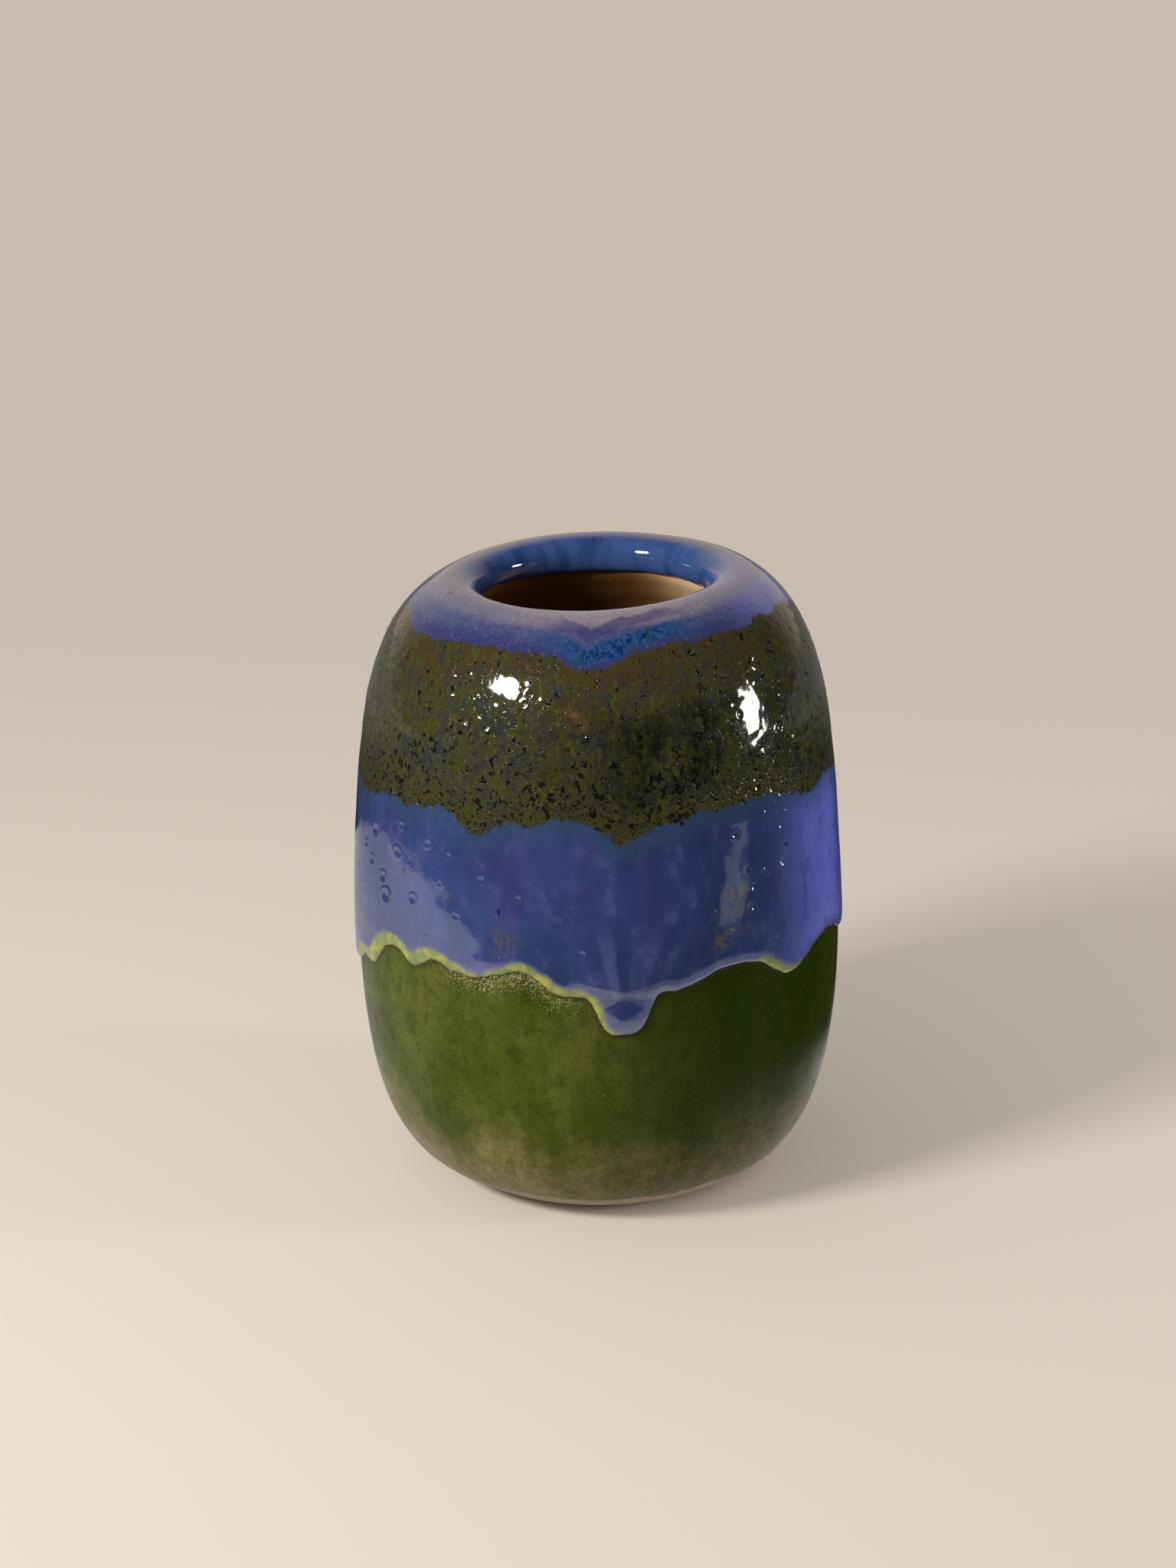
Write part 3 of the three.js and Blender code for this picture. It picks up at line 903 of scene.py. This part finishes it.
def green_finish():
    f = Finish("green_glaze", 0.3)
    f.put(f.shader.inputs["Specular IOR Level"], 0.05)
    cloud = f.noise(f.flow(0.6), 8, 4, 0.6)
    streak = f.noise(f.flow(0.1), 2.6, 3)
    mottle = f.noise(f.flow(0.8), 2.2, 4, 0.6)
    colour = f.mix(f.ease(cloud, 0.3, 0.65), GREEN, GREEN_DEEP)
    colour = f.mix(f.ease(mottle, 0.48, 0.68, 0.0, 0.45), colour, GREEN_DARK)
    colour = f.mix(f.times(f.ease(streak, 0.5, 0.7), 0.15), colour, GREEN_DEEP)
    # Painted shade on the side away from the key light.
    colour = f.mix(f.times(f.value("painted_shade"), 0.92), colour, GREEN_DARK)
    foot_gap = f.value("foot_gap")
    dust_noise = f.noise(f.flow(0.8), 1.9, 6, 0.75)
    dust_rise = f.plus(foot_gap, f.times(f.math("SUBTRACT", cloud, 0.5), 22))
    # Dust rising from the foot; low on the left it also stands for painted sheen of the lit floor.
    dust_sheen_mask = f.times(f.ease(dust_rise, 19, 0), f.ease(dust_noise, 0.3, 0.68, 0.25, 0.95))
    colour = f.mix(f.times(dust_sheen_mask, f.value("dust_and_sheen"), 0.95), colour, GREEN_DUST_SHEEN)
    grain = f.noise(f.flow(), 0.6, 3, 0.75)
    colour = f.mix(f.times(f.ease(grain, 0.52, 0.72), f.plus(f.times(dust_sheen_mask, 0.35), 0.06)), colour, GREEN_DUST_SHEEN)
    colour = f.mix(f.ease(grain, 0.48, 0.3, 0.0, 0.45), colour, GREEN_DARK)
    edge_gap = f.plus(foot_gap, f.times(f.math("SUBTRACT", dust_noise, 0.5), 3.0))
    colour = f.mix(f.ease(edge_gap, 0.3, 1.4, 0.85, 0.0), colour, CLAY_BUFF)
    drip_gap = f.value("drip_gap")
    # Painted shade in the crease just under the blue coat's edge.
    crease = f.band(drip_gap, -0.45, 0.0, 0.35)
    colour = f.mix(f.times(crease, 0.5), colour, CREASE_SHADE)
    crowd = f.times(f.value("speck_zone"), f.ease(drip_gap, -4.6, -0.4, 0.0, 0.17))
    grains = f.plus(f.noise(f.flow(), 0.27, 2, 0.7), crowd)
    specks = f.times(f.ease(grains, 0.66, 0.74), f.value("speck_zone"), f.ease(drip_gap, -8, -5))
    # Painted shade: a brown shade a few millimetres under the blue's edge, among the pale specks.
    edge_shade = f.times(f.value("speck_zone"), f.ease(drip_gap, -4.5, -0.6), f.ease(mottle, 0.4, 0.6))
    colour = f.mix(f.times(edge_shade, 0.45), colour, CREASE_SHADE)
    colour = f.mix(f.times(specks, 0.75), colour, SPECK_PALE)
    rare = f.spots(6, 0.16, 0.5)
    colour = f.mix(f.times(rare, 0.6), colour, SPECK_PALE)
    roughness = f.plus(f.ease(f.noise(f.flow(), 4, 3), 0.3, 0.7, 0.26, 0.36), f.times(dust_sheen_mask, 0.25))
    height = f.plus(f.times(f.noise(f.flow(), 0.7, 3), 0.25), f.times(specks, 0.5))
    return f.finish(colour, roughness, height, 0.03)


def clay_finish():
    f = Finish("bare_clay", 0.82)
    place = f.node("ShaderNodeTexCoord").outputs["Object"]
    place = f.node("ShaderNodeMapping", {"Vector": place, "Scale": (1 / UNIT,) * 3}).outputs["Vector"]
    cloud = f.noise(place, 9, 4)
    grain = f.noise(place, 0.45, 4, 0.7)
    colour = f.mix(f.ease(cloud, 0.35, 0.65), CLAY_TAN, CLAY_BUFF)
    colour = f.mix(f.ease(grain, 0.58, 0.75, 0.0, 0.6), colour, CLAY_BROWN)
    # Painted shade: inside the mouth the clay is painted a darker, deeper orange-brown.
    colour = f.mix(f.value("depth"), colour, CLAY_CAVITY_SHADE)
    colour = f.mix(f.times(f.value("dim"), 0.75), colour, CLAY_SHADE)
    # Painted light on the right of the inside, where the key light falls.
    colour = f.mix(f.value("glow"), colour, CLAY_PAINTED_LIGHT)
    height = f.plus(grain, f.times(f.noise(place, 0.16, 2), 0.4))
    return f.finish(colour, f.ease(grain, 0.3, 0.7, 0.75, 0.9), height, 0.08)


# ---------------------------------------------------------------- stage
# Lengths on the floor are metres.
PALE_FLOOR = rgb(228, 222, 216)
BACKGROUND = rgb(203, 191, 177)
FLOOR_SIZE = 3.0
FLOOR_NEAR = 0.10         # radius of floor that shows its own light and shadow
FLOOR_FAR = 0.50          # beyond this radius the floor has the background's colour
FLOOR_FILL = 0.35         # share of the background's colour near the vase
FOOT_SHADOW = 0.021       # radius within which the floor has no such share
FOOT_SHADOW_END = 0.029

# What the glaze mirrors: a pale cloth on the floor, a pale strip at the right and a dark room.
REFLECTED_PALE = rgb(232, 226, 226)
REFLECTED_BACK = rgb(230, 216, 196)
REFLECTED_DARK = rgb(14, 12, 11)
CLOTH_MIDDLE = (-0.09, 0)
CLOTH_RADIUS = 0.149
CLOTH_NEAR_MIDDLE = (0.02, 0)
CLOTH_NEAR_RADIUS = 0.106
STRIP_START = (0.17, -0.115)
STRIP_END = (0.32, -0.15)
STRIP_HALF = 0.022
GLOW_LEFT = 1.4
GLOW_NEAR = 0.55
GLOW_STRIP = 0.75
GLOW_BACK = 0.22
GLOW_ROOM = 0.006
GLOW_BEHIND = 0.8

DAYLIGHT = rgb(255, 246, 234)
AMBIENT_LOW = 0.12
AMBIENT_HIGH = 0.85
AMBIENT_RIGHT = 0.25      # share of the ambient light that comes from the right

# Camera.
AIM = Vector((-1.32, 0, 60.05)) * UNIT
VIEW_HEIGHT = math.radians(24)
VIEW_ELEVATION = math.radians(19.53)
VIEW_ROLL = math.radians(0.86)
VIEW_DISTANCE = 560.1 * UNIT


def build_floor():
    """A plain pale floor, and a pale cloth with a round edge that only the glaze mirrors."""
    mesh = bpy.data.meshes.new("floor")
    half = FLOOR_SIZE
    corners = [(-half, -half, 0), (half, -half, 0), (half, half, 0), (-half, half, 0)]
    mesh.from_pydata(corners, [], [(0, 1, 2, 3)])
    floor = bpy.data.objects.new("floor", mesh)
    bpy.context.scene.collection.objects.link(floor)
    floor.location.z = -0.0001
    f = Finish("floor", 0.9)
    f.put(f.shader.inputs["Base Color"], PALE_FLOOR)
    f.put(f.shader.inputs["Specular IOR Level"], 0.0)
    place = f.node("ShaderNodeTexCoord").outputs["Object"]
    back = f.node("ShaderNodeSeparateXYZ", {"Vector": place}).outputs["Y"]
    radius = f.node("ShaderNodeVectorMath", {0: place}, operation="LENGTH").outputs["Value"]
    far = f.ease(radius, FLOOR_NEAR, FLOOR_FAR, FLOOR_FILL, 1.0)
    far = f.times(far, f.ease(radius, FOOT_SHADOW, FOOT_SHADOW_END))
    away = f.node("ShaderNodeEmission", {"Color": BACKGROUND, "Strength": 1.0}).outputs[0]
    seen = f.node("ShaderNodeMixShader", {0: far, 1: f.shader.outputs[0], 2: away}).outputs[0]

    rough = f.times(f.math("SUBTRACT", f.noise(place, 0.05, 3), 0.5), 0.03)
    left = f.disc(place, CLOTH_MIDDLE, CLOTH_RADIUS, 0.003, rough)
    near = f.disc(place, CLOTH_NEAR_MIDDLE, CLOTH_NEAR_RADIUS, 0.004, rough)
    near = f.times(near, f.ease(back, -0.04, 0.0, 1.0, 0.0))
    strip = f.strip(place, STRIP_START, STRIP_END, STRIP_HALF, f.times(rough, 4))
    left_glow = f.ease(back, -0.04, 0.12, GLOW_LEFT, GLOW_NEAR)
    glow = f.math("MAXIMUM", f.times(left, left_glow), f.times(near, GLOW_NEAR))
    glow = f.math("MAXIMUM", glow, f.times(strip, GLOW_STRIP))
    glow = f.math("MAXIMUM", glow, f.times(f.ease(back, 0.15, 0.32), GLOW_BACK))
    glow = f.plus(glow, GLOW_ROOM)
    mirrored = f.node("ShaderNodeEmission", {"Color": REFLECTED_PALE, "Strength": glow}).outputs[0]
    glossy = f.node("ShaderNodeLightPath").outputs["Is Glossy Ray"]
    shown = f.node("ShaderNodeMixShader", {0: glossy, 1: seen, 2: mirrored}).outputs[0]
    f.put(f.tree.nodes["Material Output"].inputs["Surface"], shown)
    mesh.materials.append(f.material)


def build_world():
    """Soft light from above and the left, a plain background, and a pale back wall in the glaze."""
    world = bpy.data.worlds.new("studio")
    world.use_nodes = True
    bpy.context.scene.world = world
    n = Nodes(world.node_tree)
    n.tree.nodes.clear()
    heading = n.node("ShaderNodeTexCoord").outputs["Generated"]
    parts = n.node("ShaderNodeSeparateXYZ", {"Vector": heading}).outputs
    shine = n.mix(n.ease(parts["Y"], 0.45, 1.0), REFLECTED_DARK, REFLECTED_BACK)
    mirrored = n.node("ShaderNodeBackground", {"Color": shine, "Strength": GLOW_BEHIND}).outputs[0]
    overhead = n.ease(parts["Z"], 0.15, 0.9, AMBIENT_LOW, AMBIENT_HIGH)
    leftward = n.ease(parts["X"], -0.5, 0.7, 1.0, AMBIENT_RIGHT)
    strength = n.times(overhead, leftward)
    ambient = n.node("ShaderNodeBackground", {"Color": DAYLIGHT, "Strength": strength}).outputs[0]
    seen = n.node("ShaderNodeBackground", {"Color": BACKGROUND, "Strength": 1.0}).outputs[0]
    path = n.node("ShaderNodeLightPath").outputs
    lit = n.node("ShaderNodeMixShader", {0: path["Is Glossy Ray"], 1: ambient, 2: mirrored}).outputs[0]
    shown = n.node("ShaderNodeMixShader", {0: path["Is Camera Ray"], 1: lit, 2: seen}).outputs[0]
    n.node("ShaderNodeOutputWorld", {"Surface": shown})


def area_light(name, location, width, height, power, colour):
    """A softbox that looks at the vase. Only its location is in millimetres."""
    data = bpy.data.lights.new(name, "AREA")
    data.shape = "RECTANGLE"
    data.size = width
    data.size_y = height
    data.energy = power
    data.color = colour
    light = bpy.data.objects.new(name, data)
    light.location = Vector(location) * UNIT
    light.rotation_euler = (AIM - light.location).to_track_quat("-Z", "Y").to_euler()
    bpy.context.scene.collection.objects.link(light)


def build_lights():
    area_light("key", (-430, -318, 400), 0.155, 0.105, 3.9, (1.0, 0.93, 0.84))
    area_light("side", (602, -90, 140), 0.09, 0.14, 1.5, (1.0, 0.96, 0.9))


def build_camera():
    data = bpy.data.cameras.new("camera")
    data.sensor_width = 36
    data.lens = 18 / math.tan(VIEW_HEIGHT / 2)
    data.clip_start = 0.01
    camera = bpy.data.objects.new("camera", data)
    ahead = Vector((0, math.cos(VIEW_ELEVATION), -math.sin(VIEW_ELEVATION)))
    up = Vector((0, math.sin(VIEW_ELEVATION), math.cos(VIEW_ELEVATION)))
    right = Vector((1, 0, 0))
    cos = math.cos(VIEW_ROLL)
    sin = math.sin(VIEW_ROLL)
    axes = Matrix((cos * right - sin * up, sin * right + cos * up, -ahead)).transposed()
    camera.matrix_world = Matrix.Translation(AIM - ahead * VIEW_DISTANCE) @ axes.to_4x4()
    bpy.context.scene.collection.objects.link(camera)
    bpy.context.scene.camera = camera


# ---------------------------------------------------------------- scene
build_camera()
stand_for(build_clay(), "clay_body", clay_finish())
stand_for(build_green(), "green_lower_glaze", green_finish())
stand_for(build_blue(), "blue_middle_glaze", upper_finish("blue_glaze"))
stand_for(build_olive(), "olive_speckled_glaze", upper_finish("olive_glaze"))
stand_for(build_rim(), "blue_rim_glaze", upper_finish("rim_glaze"))
build_floor()
build_world()
build_lights()
bpy.context.scene.view_settings.view_transform = "Standard"
